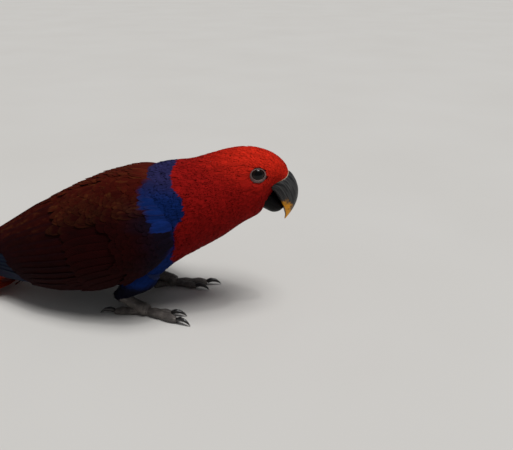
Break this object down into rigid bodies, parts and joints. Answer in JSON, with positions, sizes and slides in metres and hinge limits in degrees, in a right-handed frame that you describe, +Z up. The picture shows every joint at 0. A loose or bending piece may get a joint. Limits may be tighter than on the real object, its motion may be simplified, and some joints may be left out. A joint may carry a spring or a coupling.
{
  "type": "eclectus parrot",
  "caption": "Life-size still model of a red female eclectus parrot leaning forward on both feet, wings folded and tail laid on the floor.",
  "frame": {"origin": "middle of the length and width, on the floor under the feet", "axes": "+X forward to the bill, +Y to the bird's left, +Z up"},
  "size_m": [0.3246, 0.104, 0.1364],
  "materials": {
    "red_feathers": "bright scarlet plumage of the head, neck and breast",
    "maroon_feathers": "dark red plumage of the wings and back",
    "blue_feathers": "deep blue plumage of the thighs",
    "tail_feathers": "orange red tail feathers",
    "bill_horn": "smooth dark horn, yellow at the cutting edge and tip of the upper half",
    "eye": "wet glossy dark eye",
    "foot_skin": "dark grey scaly skin",
    "claw_horn": "smooth black horn"
  },
  "bodies": {
    "root": {"bill_lower": "bill_horn", "bill_upper": "bill_horn", "claw_left_inner_back": "claw_horn", "claw_left_inner_front": "claw_horn", "claw_left_outer_back": "claw_horn", "claw_left_outer_front": "claw_horn", "claw_right_inner_back": "claw_horn", "claw_right_inner_front": "claw_horn", "claw_right_outer_back": "claw_horn", "claw_right_outer_front": "claw_horn", "eye_left": "eye", "eye_right": "eye", "head": "red_feathers", "neck": "red_feathers", "tail": "tail_feathers", "tarsus_left": "foot_skin", "tarsus_right": "foot_skin", "thigh_left": "blue_feathers", "thigh_right": "blue_feathers", "toe_left_inner_back": "foot_skin", "toe_left_inner_front": "foot_skin", "toe_left_outer_back": "foot_skin", "toe_left_outer_front": "foot_skin", "toe_right_inner_back": "foot_skin", "toe_right_inner_front": "foot_skin", "toe_right_outer_back": "foot_skin", "toe_right_outer_front": "foot_skin", "torso": "maroon_feathers", "wing_left": "maroon_feathers", "wing_right": "maroon_feathers"}
  },
  "joints": []
}
